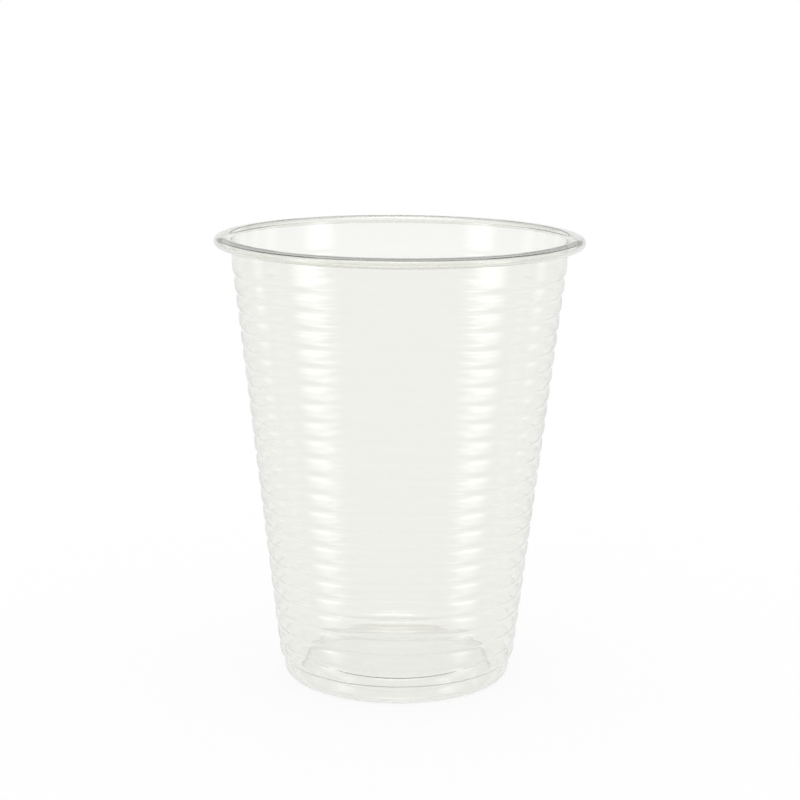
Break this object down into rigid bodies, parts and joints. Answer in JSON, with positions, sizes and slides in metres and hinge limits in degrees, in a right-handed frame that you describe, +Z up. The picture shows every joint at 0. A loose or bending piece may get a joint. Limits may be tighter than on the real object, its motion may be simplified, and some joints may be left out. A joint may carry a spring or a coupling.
{
  "type": "plastic cup",
  "caption": "Clear tapered drinking cup formed from one thin plastic sheet, with ring-ribbed wall, stepped foot, recessed base and open rolled rim.",
  "frame": {"origin": "centre of the standing ring, on the table", "axes": "+Z up along the cup's axis, from the base to the rim; the cup is round, so +X and +Y are free"},
  "size_m": [0.074, 0.074, 0.0905],
  "materials": {
    "clear_polypropylene": "clear, slightly hazy and faintly warm, smooth and glossy on both faces"
  },
  "bodies": {
    "root": {"cup": "clear_polypropylene"}
  },
  "joints": []
}
